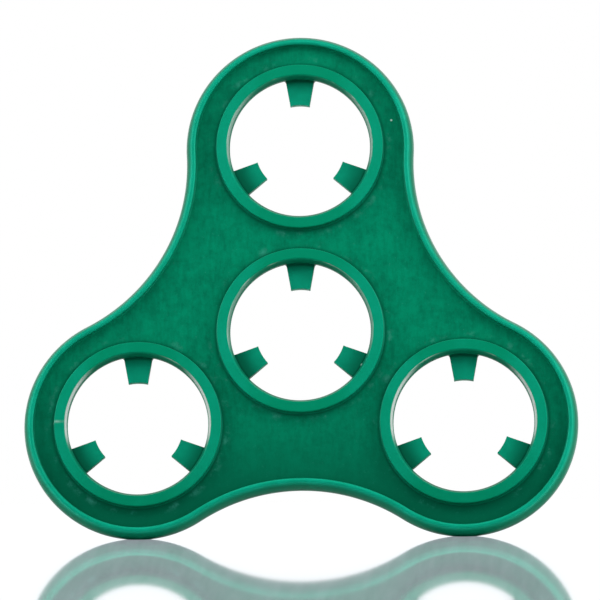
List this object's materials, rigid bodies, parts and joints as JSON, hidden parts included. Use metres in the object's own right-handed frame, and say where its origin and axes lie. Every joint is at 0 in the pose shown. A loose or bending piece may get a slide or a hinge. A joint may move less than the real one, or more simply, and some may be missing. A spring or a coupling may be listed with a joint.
{
  "type": "fidget spinner body",
  "caption": "Flat three-lobed spinner body in green plastic, with round bearing seats, raised rings and rim, and thin claws that stop each bearing at the back.",
  "frame": {"origin": "middle of the centre seat, half way through the thickness of the body", "axes": "+Z from the centre seat towards the top lobe; -Y out of the front face, the way the bearings go in and come out; +X towards the lower right lobe"},
  "size_m": [0.0866, 0.0034, 0.0797],
  "materials": {
    "web_plastic": "hazy, finely scuffed moulded face",
    "ring_plastic": "smooth satin moulded face",
    "rim_plastic": "smooth, slightly glossy bead",
    "claw_plastic": "smooth satin"
  },
  "bodies": {
    "root": {"web_plate": "web_plastic", "rim_lobe_top": "rim_plastic", "rim_lobe_left": "rim_plastic", "rim_lobe_right": "rim_plastic", "rim_waist_right": "rim_plastic", "rim_waist_left": "rim_plastic", "rim_waist_bottom": "rim_plastic", "seat_ring_center": "ring_plastic", "seat_ring_top": "ring_plastic", "seat_ring_left": "ring_plastic", "seat_ring_right": "ring_plastic", "claw_center_up": "claw_plastic", "claw_center_left": "claw_plastic", "claw_center_right": "claw_plastic", "claw_top_up": "claw_plastic", "claw_top_left": "claw_plastic", "claw_top_right": "claw_plastic", "claw_left_up": "claw_plastic", "claw_left_left": "claw_plastic", "claw_left_right": "claw_plastic", "claw_right_up": "claw_plastic", "claw_right_left": "claw_plastic", "claw_right_right": "claw_plastic"}
  },
  "joints": []
}
